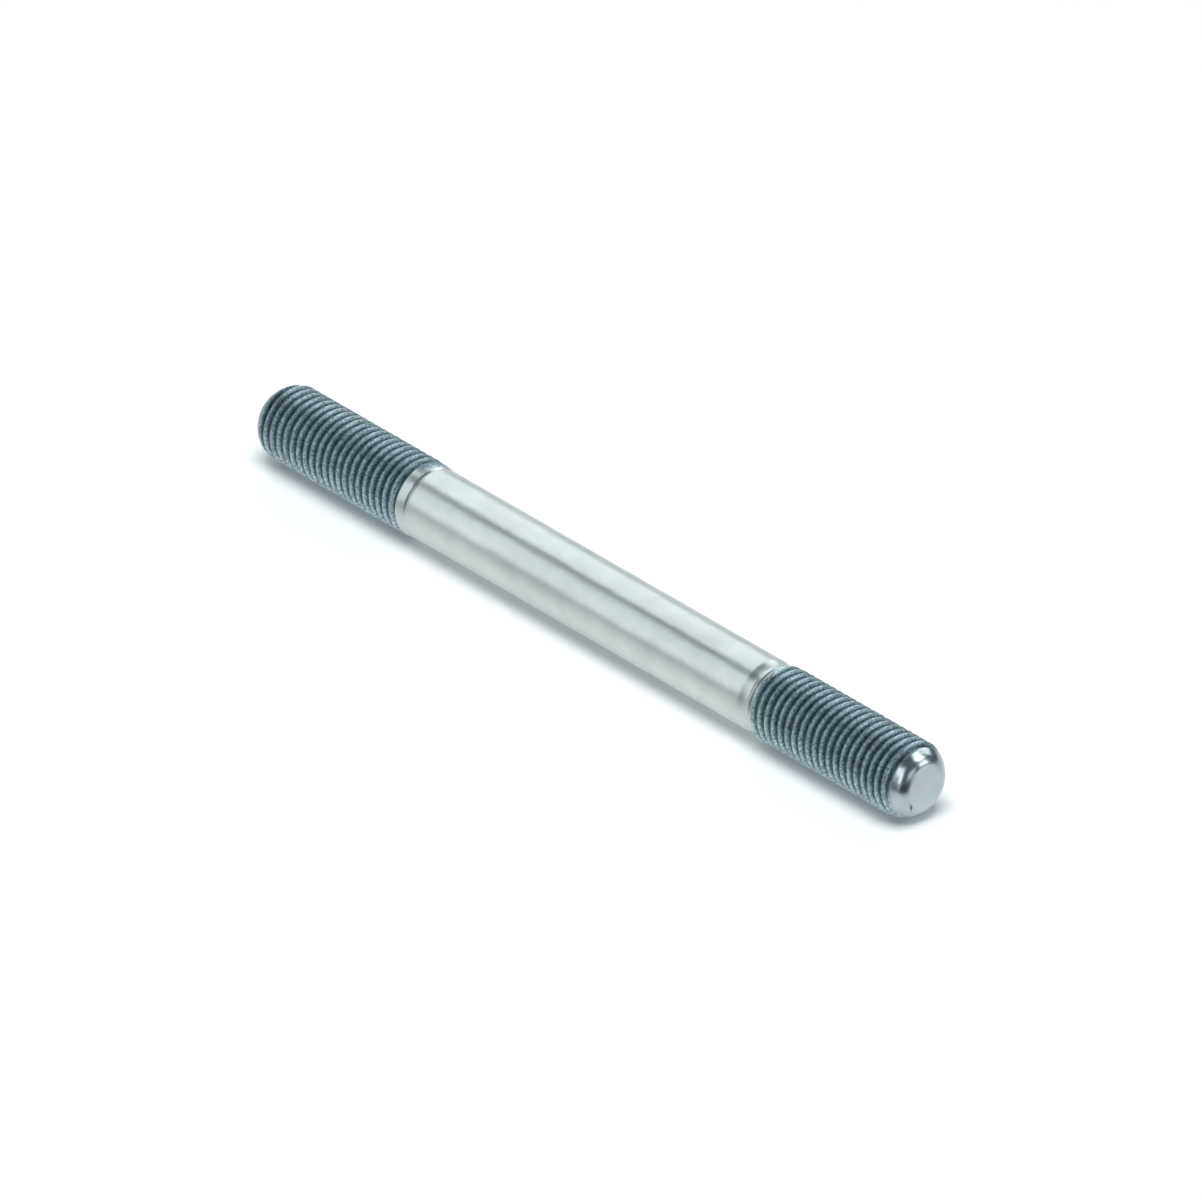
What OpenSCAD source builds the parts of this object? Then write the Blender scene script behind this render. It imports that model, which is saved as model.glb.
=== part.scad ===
// Double-ended stud bolt in steel, lying along X.
// Both ends carry a right-hand rolled thread behind a rounded point with a flat.
// A plain shank, a little thinner than the crests, joins them.
// The origin is on the stud's axis, halfway along it.

/* [Stud] */
// Overall length from end face to end face
overall_len = 120; // [80:1:200]
// Diameter of the plain shank between the threads
shank_d = 9.35; // [8:0.05:9.6]

/* [Thread] */
// Nominal thread diameter
thread_d = 10; // [9:0.1:12]
// Distance from one crest to the next
pitch = 1.25; // [1:0.05:1.5]
// How far the rolled thread stays under its nominal diameter
allowance = 0.13; // [0:0.01:0.2]
// Length of full thread at each end, with its point
thread_len = 26; // [20:0.5:32]

/* [Points] */
// Diameter of the flat on each end face, inside its rounded edge
face_d = 5.6; // [4.5:0.1:6.5]
// Radius of the rounded edge between the flat and the chamfer
point_round = 1.1; // [0.2:0.1:1.6]
// Angle between the chamfer and the stud's axis
point_angle = 36; // [30:1:45]
// Length behind the chamfer over which the crests grow to full height
lead_in = 1; // [0.6:0.1:2]

/* [Run-outs] */
// Length of full crests over which the grooves already get shallower at the +X end
near_rise = 1.5; // [0:0.1:3]
// Length over which the thread fades at the +X end
near_fade = 0.9; // [0.6:0.1:2]
// Length of the shoulder up to the shank at the +X end
near_shoulder = 1.4; // [0.4:0.1:2]
// Length of full crests over which the grooves already get shallower at the -X end
far_rise = 0; // [0:0.1:3]
// Length over which the thread fades at the -X end
far_fade = 2.6; // [0.6:0.1:4]
// Length of the shoulder up to the shank at the -X end
far_shoulder = 0.5; // [0.4:0.1:2]
// Length of the neck left between a fading thread and its shoulder
neck_len = 0.5; // [0.3:0.1:1]

/* [Thread starts] */
// Angle round the axis at which the thread starts at the +X end
near_start = 0; // [0:15:345]
// Angle round the axis at which the thread starts at the -X end
far_start = 0; // [0:15:345]
// Number of steps in one turn of thread
turn_steps = 24; // [16:1:28]

/* [Hidden] */
$fn = 96;
// Height of the sharp 60 degree triangle that the thread form is cut from
vee = pitch * sqrt(3) / 2;
crest_r = (thread_d - allowance) / 2;
root_r = crest_r - vee * 17 / 24;
// Radius of the blank before rolling, which is the pitch radius
blank_r = crest_r - vee * 3 / 8;
shank_r = shank_d / 2;
// Radius of the neck, always a little under the shank
neck_r = min(blank_r, shank_r - 0.1);
face_r = face_d / 2;
// The turned core runs inside the thread's flats, and carries the chamfer
core_r = min(root_r * cos(180 / turn_steps), neck_r) - 0.07;
// Radius of the rounded edge, held back where the point is too small for it
edge_r = min(point_round, 0.9 * (core_r - face_r) / cos(point_angle));
cone_z = edge_r * (1 - sin(point_angle));
cone_r = face_r + edge_r * cos(point_angle);
core_z = cone_z + (core_r - cone_r) / tan(point_angle);
// The thread starts just behind the point where the chamfer meets the core
start_z = core_z + 0.05;
start_r = (core_r + 0.04) / cos(180 / turn_steps);
blank_z = start_z + (blank_r - start_r) / tan(point_angle);

// Value that goes evenly from a to b while z goes from za to zb
function ramp(a, b, za, zb, z) =
    z <= za ? a : z >= zb ? b : a + (b - a) * (z - za) / (zb - za);

// Radius on the chamfer at a distance z behind the end face
function chamfer_at(z) = start_r + max(0, z - start_z) * tan(point_angle);

// Radius of the crests at a distance z behind the end face
function crest_at(z, fade) =
    z < thread_len
        ? min(chamfer_at(z), ramp(blank_r, crest_r, blank_z, blank_z + lead_in, z))
        : ramp(crest_r, neck_r, thread_len, thread_len + fade, z);

// Radius of the grooves at a distance z behind the end face
function root_at(z, rise, fade) =
    z < thread_len - rise
        ? min(chamfer_at(z), root_r)
        : ramp(root_r, neck_r, thread_len - rise, thread_len + fade, z);

// One rolled thread, from its start behind the chamfer into the shoulder.
// Rows of points climb round the stud on the helix, and four rows make a
// pitch: the two edges of the crest, then the two edges of the groove.
// Rows that would pass an end of the thread lie still on that end.
module rolled_thread(rise, fade, shoulder) {
    end_z = thread_len + fade + neck_len + shoulder;
    turns = ceil((end_z - start_z) / pitch) + 3;
    rows = 4 * turns;
    first_z = start_z - 2 * pitch;
    edges = [0, 6 / 48, 23 / 48, 31 / 48];

    function z_of(i, k) =
        let (turn = floor(k / 4) + i / turn_steps + edges[k % 4])
        min(end_z, max(start_z, first_z + pitch * turn));
    function r_of(z, k) = k % 4 < 2 ? crest_at(z, fade) : root_at(z, rise, fade);
    function index(i, k) = i < turn_steps ? i * rows + k : min(k + 4, rows - 1);

    points = [
        for (i = [0:turn_steps - 1], k = [0:rows - 1])
            let (z = z_of(i, k), r = r_of(z, k), a = 360 * i / turn_steps)
            [r * cos(a), r * sin(a), z]
    ];
    function apart(a, b, c) =
        points[a] != points[b] && points[b] != points[c] && points[a] != points[c];
    sides = [
        for (i = [0:turn_steps - 1], k = [0:rows - 2])
            let (
                a = index(i, k),
                b = index(i + 1, k),
                c = index(i + 1, k + 1),
                d = index(i, k + 1)
            )
            each [
                if (apart(a, c, b)) [a, c, b],
                if (apart(a, d, c)) [a, d, c]
            ]
    ];
    start_cap = [for (i = [0:turn_steps - 1]) index(i, 0)];
    end_cap = [for (i = [turn_steps - 1:-1:0]) index(i, rows - 1)];
    polyhedron(points = points, faces = concat(sides, [start_cap], [end_cap]));
}

// Half section of one end: flat, rounded edge, chamfer, core and shoulder
function end_outline(fade, shoulder) =
    let (neck_z = thread_len + fade + neck_len)
    [
        [0, 0],
        for (i = [0:5])
            let (a = (90 - point_angle) * i / 5)
            [face_r + edge_r * sin(a), edge_r * (1 - cos(a))],
        [core_r, core_z],
        [core_r, neck_z - 0.1],
        [shank_r, neck_z + shoulder]
    ];

// The far end's half section, turned round to the other end of the stud
function far_outline() =
    let (outline = end_outline(far_fade, far_shoulder))
    [for (i = [len(outline) - 1:-1:0]) [outline[i][0], overall_len - outline[i][1]]];

module turned_body() {
    rotate_extrude()
        polygon(concat(end_outline(near_fade, near_shoulder), far_outline()));
}

module stud() {
    color([0.66, 0.71, 0.71])
        translate([overall_len / 2, 0, 0])
            rotate([0, -90, 0]) {
                turned_body();
                rotate([0, 0, near_start])
                    rolled_thread(near_rise, near_fade, near_shoulder);
                translate([0, 0, overall_len])
                    rotate([180, 0, far_start])
                        rolled_thread(far_rise, far_fade, far_shoulder);
            }
}

stud();
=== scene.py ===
import math

import bmesh
import bpy
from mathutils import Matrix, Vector, noise


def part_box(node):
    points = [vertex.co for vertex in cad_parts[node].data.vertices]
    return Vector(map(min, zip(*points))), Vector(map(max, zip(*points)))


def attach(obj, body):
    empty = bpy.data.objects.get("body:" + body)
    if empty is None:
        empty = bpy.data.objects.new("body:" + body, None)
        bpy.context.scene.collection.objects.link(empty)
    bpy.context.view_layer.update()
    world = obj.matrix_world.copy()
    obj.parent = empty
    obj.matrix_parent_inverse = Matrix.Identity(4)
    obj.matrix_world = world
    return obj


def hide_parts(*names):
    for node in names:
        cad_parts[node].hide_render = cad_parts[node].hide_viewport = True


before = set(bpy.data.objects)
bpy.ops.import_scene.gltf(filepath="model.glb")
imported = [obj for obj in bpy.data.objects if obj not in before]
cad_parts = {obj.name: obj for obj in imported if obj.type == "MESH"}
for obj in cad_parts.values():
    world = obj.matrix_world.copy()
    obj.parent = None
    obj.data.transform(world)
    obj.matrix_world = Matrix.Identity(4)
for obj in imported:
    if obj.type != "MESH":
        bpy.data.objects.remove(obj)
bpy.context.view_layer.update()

# The points. The steel rod is cut to length and each end is turned to a flat
# with a rounded edge and a cone, so that a nut or a tapped hole finds the
# thread. The near point has a small nick at the lower edge of its flat, which
# is coloured dark with painted shade.

MM = 0.001
LOW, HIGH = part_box("stud")
HALF_LEN = HIGH.x
FLAT_R = 2.25 * MM
EDGE_ROUND = 2.15 * MM
CHAMFER = math.radians(36)
START_R = 4.1 * MM
NICK = Vector((HALF_LEN - 0.1 * MM, -2.05 * MM, -2.15 * MM))
NICK_WAY, NICK_ACROSS = Vector((0, 0.33, -0.945)), Vector((0, 0.945, 0.33))
NICK_LEN, NICK_WIDTH, NICK_DEPTH = 2.0 * MM, 0.5 * MM, 0.12 * MM
NICK_BOW = 0.8
TURN_STEPS = 96


def swept(points, climb=0.0):
    """A chain of (x, radius) points swept once round the axis, climbing along it."""
    bm = bmesh.new()
    for name in ("groove", "rolled", "turned"):
        bm.verts.layers.float.new(name)
    verts = [bm.verts.new((x, 0, r)) for x, r in points]
    edges = [bm.edges.new(pair) for pair in zip(verts, verts[1:])]
    bmesh.ops.spin(
        bm,
        geom=verts + edges,
        cent=(0, 0, 0),
        axis=(1, 0, 0),
        dvec=(climb / TURN_STEPS, 0, 0),
        angle=2 * math.pi,
        steps=TURN_STEPS,
        use_merge=climb == 0.0,
    )
    return bm


def join(whole, part):
    """Moves the geometry of one bmesh into another."""
    mesh = bpy.data.meshes.new("part")
    part.to_mesh(mesh)
    part.free()
    whole.from_mesh(mesh)
    bpy.data.meshes.remove(mesh)


rings = [(0, FLAT_R * t) for t in (0, 0.25, 0.5, 0.75, 0.95)]
rings += [
    (EDGE_ROUND * (1 - math.cos(a)), FLAT_R + EDGE_ROUND * math.sin(a))
    for a in (math.radians(d) for d in range(0, 55, 6))
]
cone_z, cone_r = rings[-1]
START_Z = cone_z + (START_R - cone_r) / math.tan(CHAMFER)
rings.append((START_Z, START_R))

bm = bmesh.new()
for side in (1, -1):
    point = swept([(side * (HALF_LEN - z), r) for z, r in rings])
    groove, rolled, turned = (
        point.verts.layers.float[name] for name in ("groove", "rolled", "turned")
    )
    if side > 0:
        for cuts in (1, 2):
            close = [
                e for e in point.edges
                if ((e.verts[0].co + e.verts[1].co) / 2 - NICK).length < 0.6 * NICK_LEN
            ]
            bmesh.ops.subdivide_edges(point, edges=close, cuts=cuts, use_grid_fill=True)
        for v in point.verts:
            off = v.co - NICK
            down = off.dot(NICK_WAY) / (NICK_LEN / 2)
            over = off.dot(NICK_ACROSS) / (NICK_WIDTH / 2)
            over += NICK_BOW * (down * down - 0.25)
            if off.x > -MM and abs(down) < 1 and abs(over) < 1:
                deep = (1 - down * down) * (1 - over * over)
                v.co.x -= NICK_DEPTH * deep
                # Painted shade: the nick is coloured in the dark tone of the thread roots.
                v[rolled], v[groove] = deep, 0.6
    for v in point.verts:
        v[turned] = 1 - v[rolled]
    join(bm, point)

# The threads. Both ends are rolled cold between dies with a right-hand metric
# fine thread. Its crests fade towards the shank, within a turn at the near end
# and over a turn and a half at the far one.

CREST_R = HIGH.z
PITCH = 1.25 * MM
VEE = PITCH * math.sqrt(3) / 2
ROOT_R = CREST_R - VEE * 17 / 24
BLANK_R = CREST_R - VEE * 3 / 8
DEPTH = CREST_R - ROOT_R
CREST_ROUND = VEE / 8
ROOT_ROUND = VEE / 6
LEAD_IN = 1.0 * MM
NECK_R, COLLAR_R = 4.5 * MM, 4.84 * MM
GRAIN = 0.012 * MM
POINT_REACH = 3 * MM
# Painted shade darkens the thread flanks towards the roots, coming in between these two
# distances from the end face
ROOT_SHADE_START, ROOT_SHADE_FULL = START_Z + 0.57 * MM, START_Z + 0.85 * MM
COLLAR_SHADE_TONE, COLLAR_SHADE_MIX = 0.45, 0.95
# Crests, grooves and the dull finish with its painted shade each fade between
# two distances from the end face
NEAR_FADES = [(26.2 * MM, 27.3 * MM), (24.5 * MM, 27.3 * MM), (26.0 * MM, 26.5 * MM)]
FAR_FADES = [(26.3 * MM, 28.1 * MM), (27.0 * MM, 28.1 * MM), (27.6 * MM, 28.0 * MM)]


def ramp(a, b, za, zb, z):
    """A value that goes evenly from a to b while z goes from za to zb."""
    t = min(1, max(0, (z - za) / (zb - za)))
    return a + (b - a) * t


def thread_form():
    """One pitch of the rolled form: (place along the axis, height over the root)."""
    crest = [
        (CREST_ROUND * math.sin(a), DEPTH - CREST_ROUND * (1 - math.cos(a)))
        for a in (math.radians(d) for d in (-60, -36, -12, 12, 36, 60))
    ]
    root = [
        (PITCH / 2 + ROOT_ROUND * math.sin(a), ROOT_ROUND * (1 - math.cos(a)))
        for a in (math.radians(d) for d in (-60, -30, 0, 30, 60))
    ]
    fall = [
        (
            crest[-1][0] + (root[0][0] - crest[-1][0]) * t,
            crest[-1][1] + (root[0][1] - crest[-1][1]) * t,
        )
        for t in (1 / 3, 2 / 3)
    ]
    rise = [(PITCH - x, h) for x, h in reversed(fall)]
    return crest + fall + root + rise


def painted_collar_shade(co):
    """How much painted shade darkens the upper side of the far collar."""
    z = HALF_LEN + co.x
    upper = ramp(0, 1, 0.77, 0.88, math.cos(math.atan2(co.y, co.z) - 0.26))
    shading_amount = ramp(0, 1, 26.9 * MM, 27.4 * MM, z) * ramp(1, 0, 28.9 * MM, 29.3 * MM, z)
    return upper * shading_amount


def rolled_thread(side, crest_z, fades, end_r):
    """One thread, from the cone of its point to where it has run out at end_r.

    A crest passes the top of the stud at crest_z from the end face.
    """
    crest_fade, root_fade, finish_fade = fades
    end_z = crest_fade[1]
    turns = math.ceil(end_z / PITCH) + 4
    if side > 0:
        first = HALF_LEN - crest_z - (turns - 2) * PITCH
    else:
        first = crest_z - HALF_LEN - 2 * PITCH
    rows = [
        (first + turn * PITCH + x, ROOT_R + h)
        for turn in range(turns)
        for x, h in thread_form()
    ]
    bm = swept(rows, climb=PITCH)
    groove, rolled, turned = (
        bm.verts.layers.float[name] for name in ("groove", "rolled", "turned")
    )
    blank_z = START_Z + (BLANK_R - START_R) / math.tan(CHAMFER)
    for v in bm.verts:
        angle = math.atan2(v.co.y, v.co.z)
        share = (math.hypot(v.co.y, v.co.z) - ROOT_R) / DEPTH
        z = min(end_z, max(START_Z, HALF_LEN - side * v.co.x))
        cone = START_R + (z - START_Z) * math.tan(CHAMFER)
        high = ramp(BLANK_R, CREST_R, blank_z, blank_z + LEAD_IN, z)
        high = min(high, ramp(CREST_R, end_r, *crest_fade, z))
        low = ramp(ROOT_R, end_r, *root_fade, z)
        if z < root_fade[0]:
            r = min(high, low + DEPTH * share)
        else:
            r = low + (high - low) * share
        on_cone = z < POINT_REACH and r >= cone
        r = min(r, cone)
        place = Vector((side * (HALF_LEN - z), r * math.sin(angle), r * math.cos(angle)))
        rough = 0.5 + noise.noise(place * 2600) + 0.5 * noise.noise(place * 900)
        worn = min(1, max(0, (z - START_Z) / PITCH), max(0, (end_z - z) / PITCH / 2))
        shrink = GRAIN * worn * min(1, max(0, rough))
        place.yz = place.yz * (1 - shrink / r)
        v.co = place
        # Painted shading: the flanks darken towards the roots.
        shading_amount = ramp(0, 1, ROOT_SHADE_START, ROOT_SHADE_FULL, z)
        shading_amount *= 1 if z < 5 * MM else (high - low) / DEPTH
        finish_and_shade = ramp(0.4, 1, START_Z, START_Z + 0.8 * MM, z)
        finish_and_shade = min(finish_and_shade, ramp(1, 0.2, *finish_fade, z))
        deepest = ramp(0.64, 1, START_Z + 1.3 * MM, START_Z + 2.1 * MM, z)
        shading_amount = min(deepest, shading_amount * (1 - share))
        # The upper side of the far collar gets painted shade in the thread's tone.
        if side < 0:
            over = painted_collar_shade(v.co)
            shading_amount, finish_and_shade = max(shading_amount, COLLAR_SHADE_TONE * over), max(finish_and_shade, COLLAR_SHADE_MIX * over)
        v[groove] = 0 if on_cone else shading_amount
        v[rolled] = 0 if on_cone else finish_and_shade
        v[turned] = 1 if on_cone else 0
    return bm


join(bm, rolled_thread(1, 0.025 * MM, NEAR_FADES, NECK_R))
join(bm, rolled_thread(-1, 0.395 * MM, FAR_FADES, COLLAR_R))

# The shank keeps the drawn surface of the steel rod. It drops over a short
# cone to the neck of the near thread. A narrow groove parts it from the
# tapered collar that the far thread leaves.

SHANK_R = 4.675 * MM

near_neck = [
    (27.3, NECK_R), (27.45, 4.477 * MM), (27.6, 4.47 * MM), (27.75, 4.477 * MM),
    (28.3, 4.567 * MM), (28.7, 4.637 * MM), (28.85, 4.66 * MM), (28.95, 4.67 * MM),
    (29.1, SHANK_R),
]
far_collar = [
    (30.0, SHANK_R), (29.85, SHANK_R), (29.8, 4.665 * MM), (29.7, 4.62 * MM),
    (29.62, 4.605 * MM), (29.54, 4.615 * MM), (29.44, 4.66 * MM), (29.34, 4.695 * MM),
    (29.2, 4.72 * MM), (29.0, 4.743 * MM), (28.6, 4.788 * MM), (28.1, COLLAR_R),
]
near_neck = [(HALF_LEN - z * MM, r) for z, r in near_neck]
far_collar = [(z * MM - HALF_LEN, r) for z, r in far_collar]
x0, x1 = near_neck[-1][0], far_collar[0][0]
middle = [(x0 + (x1 - x0) * i / 60, SHANK_R) for i in range(1, 60)]
shank = swept(near_neck + middle + far_collar)
groove, rolled, turned = (
    shank.verts.layers.float[name] for name in ("groove", "rolled", "turned")
)
# The upper side of the far collar gets painted shade in the thread's tone.
for v in shank.verts:
    over = painted_collar_shade(v.co)
    v[groove] = COLLAR_SHADE_TONE * over
    v[rolled] = ramp(0, 0.2, HALF_LEN - 28.4 * MM, HALF_LEN - 27.4 * MM, v.co.x)
    v[rolled] = max(v[rolled], COLLAR_SHADE_MIX * over)
    v[turned] = ramp(0.3, 0, 29.3 * MM - HALF_LEN, 29.7 * MM - HALF_LEN, v.co.x)
join(bm, shank)

bmesh.ops.remove_doubles(bm, verts=bm.verts, dist=0.002 * MM)
bmesh.ops.dissolve_degenerate(bm, edges=bm.edges, dist=0.001 * MM)
bmesh.ops.recalc_face_normals(bm, faces=bm.faces)
mesh = bpy.data.meshes.new("stud_skin")
bm.to_mesh(mesh)
bm.free()
mesh.shade_smooth()
stud_skin = bpy.data.objects.new("stud_skin", mesh)
bpy.context.scene.collection.objects.link(stud_skin)
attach(stud_skin, "root")
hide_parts("stud")

# The plating. The finished stud is zinc plated all over and passivated to a
# faint blue. It is satin on the drawn shank, shinier on the turned points, and
# dull and grainy on the threads. Painted shade darkens the thread flanks towards
# the roots, the nick of the near point and the upper side of the far collar.

zinc = bpy.data.materials.new("zinc_plated_steel")
zinc.use_nodes = True
nodes, links = zinc.node_tree.nodes, zinc.node_tree.links
shader = nodes["Principled BSDF"]
shader.inputs["Metallic"].default_value = 1


def add(kind, **settings):
    """A new node in the current material, with its own settings."""
    made = nodes.new(kind)
    for name, value in settings.items():
        setattr(made, name, value)
    return made


def cloudy(scale, detail, stretch=(1, 1, 1)):
    """Soft noise in the stud's own space, stretched along its axes."""
    made = add("ShaderNodeTexNoise")
    made.inputs["Scale"].default_value = scale
    made.inputs["Detail"].default_value = detail
    mapping = add("ShaderNodeMapping")
    mapping.inputs["Scale"].default_value = stretch
    links.new(own_space.outputs["Object"], mapping.inputs["Vector"])
    links.new(mapping.outputs["Vector"], made.inputs["Vector"])
    return made.outputs["Fac"]


def span(value, low, high, to_low, to_high):
    """A value moved from one range into another, and held inside it."""
    made = add("ShaderNodeMapRange")
    ends = {"From Min": low, "From Max": high, "To Min": to_low, "To Max": to_high}
    for name, number in ends.items():
        made.inputs[name].default_value = number
    links.new(value, made.inputs["Value"])
    return made.outputs["Result"]


def feed(value, socket):
    """Links another node's output to a socket, or sets a plain value on it."""
    if isinstance(value, bpy.types.NodeSocket):
        links.new(value, socket)
    else:
        socket.default_value = value


def maths(operation, a, b):
    """Two values or numbers put together."""
    made = add("ShaderNodeMath", operation=operation)
    feed(a, made.inputs[0])
    feed(b, made.inputs[1])
    return made.outputs["Value"]


def mixed(a, b, share, blend="MIX"):
    """Two colours, or a colour and a plain one, mixed by a share."""
    made = add("ShaderNodeMix", data_type="RGBA", blend_type=blend)
    for value, name in ((a, "A"), (b, "B"), (share, "Factor")):
        feed(value, made.inputs[name])
    return made.outputs["Result"]


own_space = add("ShaderNodeTexCoord")
groove, rolled, turned = (
    add("ShaderNodeAttribute", attribute_name=name).outputs["Fac"]
    for name in ("groove", "rolled", "turned")
)
streaks = cloudy(900, 4, (0.05, 1, 1))
cloud = cloudy(240, 3)
grain = cloudy(3300, 3)
wave = cloudy(330, 2, (0.6, 1, 1))

# Across each pitch this tone is painted light and shade: light at the crest, darkest down
# the flank and lighter again at the very root. The same tone darkens the nick and the upper
# side of the far collar.
painted_shading_tone = add("ShaderNodeValToRGB")
stops = [
    (0.0, (0.40, 0.515, 0.555)),
    (0.2, (0.37, 0.485, 0.525)),
    (0.38, (0.235, 0.335, 0.37)),
    (0.54, (0.10, 0.175, 0.205)),
    (0.68, (0.10, 0.175, 0.205)),
    (0.88, (0.31, 0.42, 0.46)),
    (1.0, (0.40, 0.52, 0.56)),
]
for position, _ in stops[1:-1]:
    painted_shading_tone.color_ramp.elements.new(position)
for stop, (position, colour) in zip(painted_shading_tone.color_ramp.elements, stops):
    stop.position = position
    stop.color = (*colour, 1)
links.new(groove, painted_shading_tone.inputs["Fac"])
colour = mixed((0.62, 0.675, 0.665, 1), painted_shading_tone.outputs["Color"], rolled)
colour = mixed(colour, (0.465, 0.54, 0.57, 1), turned)
spots = maths("MULTIPLY", span(grain, 0.34, 0.66, -0.42, 0.42), rolled)
mottle = maths("ADD", span(cloud, 0.3, 0.7, 0.93, 1.06), spots)
links.new(mixed(colour, mottle, 1.0, "MULTIPLY"), shader.inputs["Base Color"])

satin = span(streaks, 0.3, 0.7, 0.27, 0.33)
satin = maths("ADD", satin, maths("MULTIPLY", rolled, 0.13))
satin = maths("SUBTRACT", satin, maths("MULTIPLY", turned, 0.09))
links.new(satin, shader.inputs["Roughness"])

height = maths("MULTIPLY", grain, maths("ADD", maths("MULTIPLY", rolled, 0.4), 0.04))
height = maths("ADD", height, wave)
bump = add("ShaderNodeBump")
bump.inputs["Strength"].default_value = 1
bump.inputs["Distance"].default_value = 0.08 * MM
links.new(height, bump.inputs["Height"])
links.new(bump.outputs["Normal"], shader.inputs["Normal"])
mesh.materials.append(zinc)

# The table top. The stud lies on a large sheet of white paper with a faint
# gloss. A camera sees it at full white, and it keeps the stud's shadow.

floor_bm = bmesh.new()
bmesh.ops.create_grid(floor_bm, x_segments=1, y_segments=1, size=2)
bmesh.ops.translate(floor_bm, verts=floor_bm.verts, vec=(0, 0, LOW.z - 0.02 * MM))
floor_mesh = bpy.data.meshes.new("table_top")
floor_bm.to_mesh(floor_mesh)
floor_bm.free()
table_top = bpy.data.objects.new("table_top", floor_mesh)
bpy.context.scene.collection.objects.link(table_top)
paper = bpy.data.materials.new("white_table")
paper.use_nodes = True
nodes, links = paper.node_tree.nodes, paper.node_tree.links
nodes.clear()
path = add("ShaderNodeLightPath")


def paper_white(lit, glow, tint):
    """White paper: the part that the lamp lights, and the part that glows."""
    diffuse = add("ShaderNodeBsdfDiffuse")
    feed(lit, diffuse.inputs["Color"])
    emission = add("ShaderNodeEmission")
    emission.inputs["Color"].default_value = (*tint, 1)
    links.new(glow, emission.inputs["Strength"])
    both = add("ShaderNodeAddShader")
    links.new(diffuse.outputs["BSDF"], both.inputs[0])
    links.new(emission.outputs["Emission"], both.inputs[1])
    return both.outputs["Shader"]


sheet = add("ShaderNodeSeparateXYZ")
links.new(add("ShaderNodeTexCoord").outputs["Object"], sheet.inputs["Vector"])
along, aside = sheet.outputs["X"], sheet.outputs["Y"]

shown = maths("MAXIMUM", path.outputs["Is Camera Ray"], path.outputs["Is Transmission Ray"])
shine = maths("MULTIPLY", shown, 0.16)
direct = paper_white((0.8, 0.8, 0.8, 1), shine, (0.8, 0.95, 1))

# Seen by the metal alone, the paper glows as a painted pool of light that dims
# in front of the stud and past its point, which paints dark reflections on the stud
front = span(aside, -0.040, -0.008, 0.4, 1.0)
past = span(along, 0.067, 0.072, 0, 1)
past = maths("MULTIPLY", past, span(aside, 0.002, 0.0065, 1, 0))
painted_pool = maths("MULTIPLY", front, maths("SUBTRACT", 1.0, past))
shine = maths("MULTIPLY", path.outputs["Is Glossy Ray"], painted_pool)
shine = maths("MULTIPLY", shine, 0.62)
mirrored = paper_white(maths("MULTIPLY", painted_pool, 0.3), shine, (1, 1, 1))
white = add("ShaderNodeMixShader")
links.new(path.outputs["Is Glossy Ray"], white.inputs["Fac"])
links.new(direct, white.inputs[1])
links.new(mirrored, white.inputs[2])
gloss = add("ShaderNodeBsdfGlossy")
gloss.inputs["Roughness"].default_value = 0.35
polish = add("ShaderNodeFresnel")
polish.inputs["IOR"].default_value = 1.45
mix = add("ShaderNodeMixShader")
links.new(polish.outputs["Fac"], mix.inputs["Fac"])
links.new(white.outputs["Shader"], mix.inputs[1])
links.new(gloss.outputs["BSDF"], mix.inputs[2])
out = add("ShaderNodeOutputMaterial")
links.new(mix.outputs["Shader"], out.inputs["Surface"])
floor_mesh.materials.append(paper)

# The lights are white boxes and cards that the metal mirrors, round a dim
# room. One more lamp overhead lights the table alone and throws the shadow.


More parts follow.
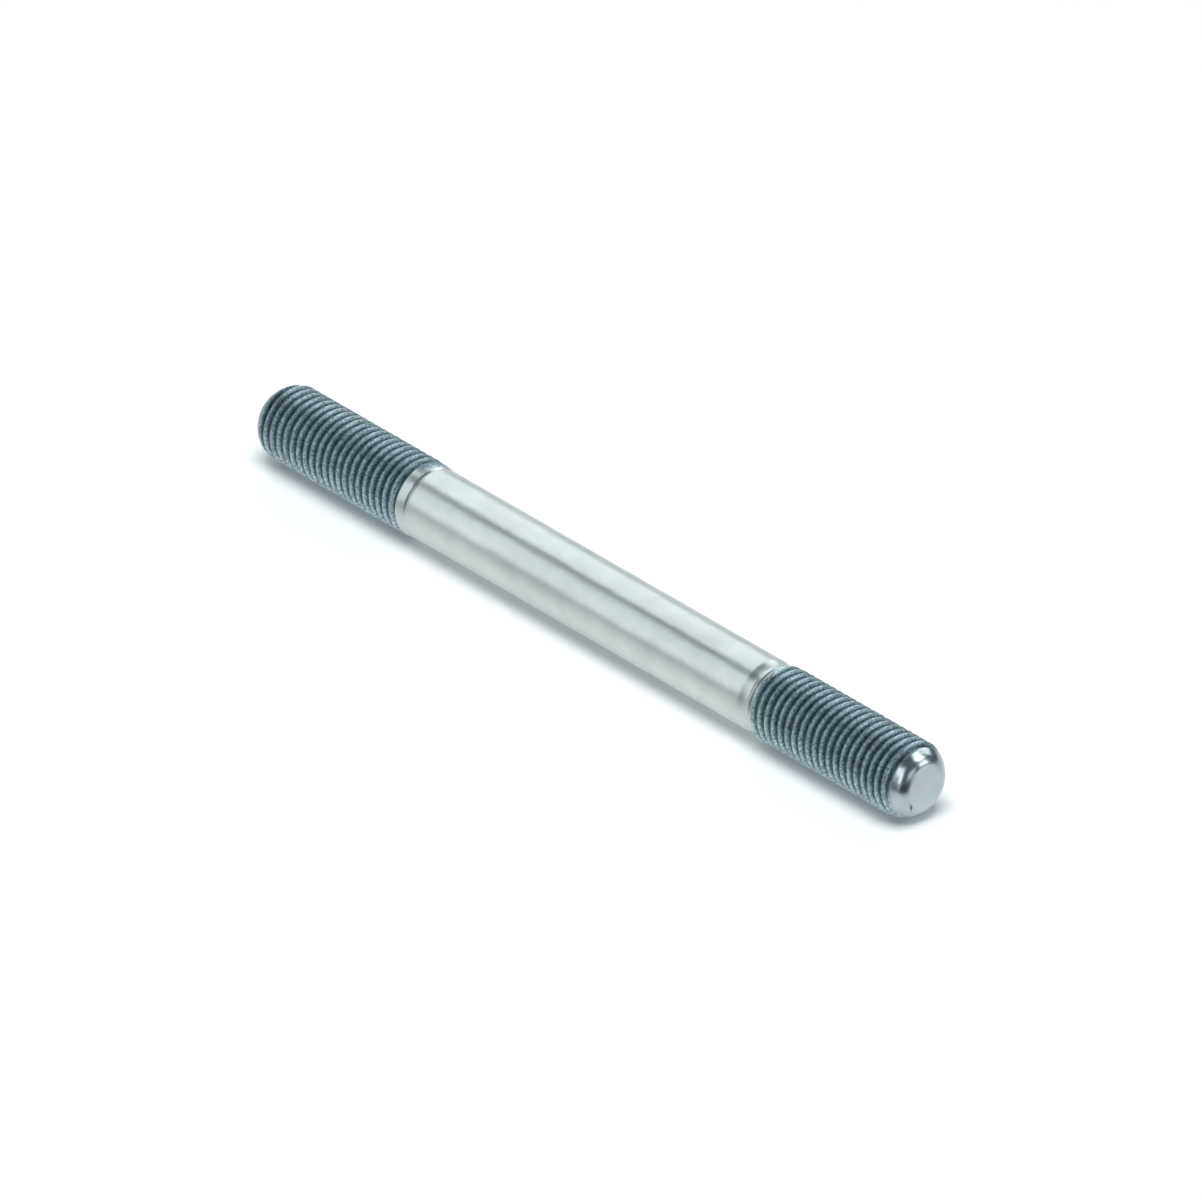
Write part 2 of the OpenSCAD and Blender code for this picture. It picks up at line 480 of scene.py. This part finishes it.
def softbox(name, direction, distance, width, height, radiance, metal=True, across=0.0):
    """A soft lamp that looks at the stud from a direction, moved along X by across."""
    towards = Vector(direction).normalized()
    lamp = bpy.data.lights.new(name, "AREA")
    lamp.shape = "RECTANGLE"
    lamp.size, lamp.size_y = width, height
    lamp.energy = radiance * math.pi * width * height
    made = bpy.data.objects.new(name, lamp)
    made.location = towards * distance + Vector((across, 0, 0))
    made.rotation_euler = towards.to_track_quat("Z", "Y").to_euler()
    made.visible_glossy = metal
    made.visible_diffuse = not metal
    bpy.context.scene.collection.objects.link(made)


softbox("top_left_box", (0, 0.515, 0.857), 0.8, 0.95, 1.25, 1.17, across=-0.937)
softbox("back_left_card", (-0.66, 0.74, 0.13), 1.4, 0.7, 0.36, 0.5)
softbox("top_back_box", (-0.12, 0.80, 0.62), 1.2, 0.95, 0.75, 1.6)
softbox("top_right_box", (0.50, 0.47, 0.73), 1.2, 0.5, 0.6, 2.45)
softbox("left_box", (-0.595, -0.655, 0.457), 1.3, 0.9, 1.2, 1.0)
softbox("front_box", (0.64, -0.62, 0.41), 1.3, 0.36, 1.0, 1.7)
softbox("front_card", (0.38, -0.80, 0.45), 1.3, 0.5, 1.0, 0.3)
softbox("right_card", (1, 0.05, 0.14), 1.6, 0.6, 0.6, 0.8)
softbox("back_card", (0.76, 0.56, 0.28), 1.6, 0.6, 0.6, 2.0)
softbox("table_lamp", (0.16, -0.16, 1), 1.8, 1.25, 1.25, 8.0, metal=False)

world = bpy.data.worlds.new("studio")
world.use_nodes = True
room = world.node_tree.nodes["Background"]
room.inputs["Color"].default_value = (0.75, 0.92, 1, 1)
room.inputs["Strength"].default_value = 0.17
bpy.context.scene.world = world

# The camera looks down on the stud from beside its near end. Its long lens
# shows both threads at almost the same size.

camera_data = bpy.data.cameras.new("camera")
camera_data.sensor_width = 36
camera_data.lens = 684.6
camera_data.clip_end = 20
camera = bpy.data.objects.new("camera", camera_data)
azimuth, elevation, distance = math.radians(49.54), math.radians(29.44), 2.75
back = Vector((
    math.sin(azimuth) * math.cos(elevation),
    -math.cos(azimuth) * math.cos(elevation),
    math.sin(elevation),
))
aim = Vector((0.78 * MM, 0, 0.1 * MM))
camera.location = aim + back * distance
camera.rotation_euler = (-back).to_track_quat("-Z", "Y").to_euler()
bpy.context.scene.collection.objects.link(camera)
bpy.context.scene.camera = camera
bpy.context.scene.view_settings.view_transform = "Standard"
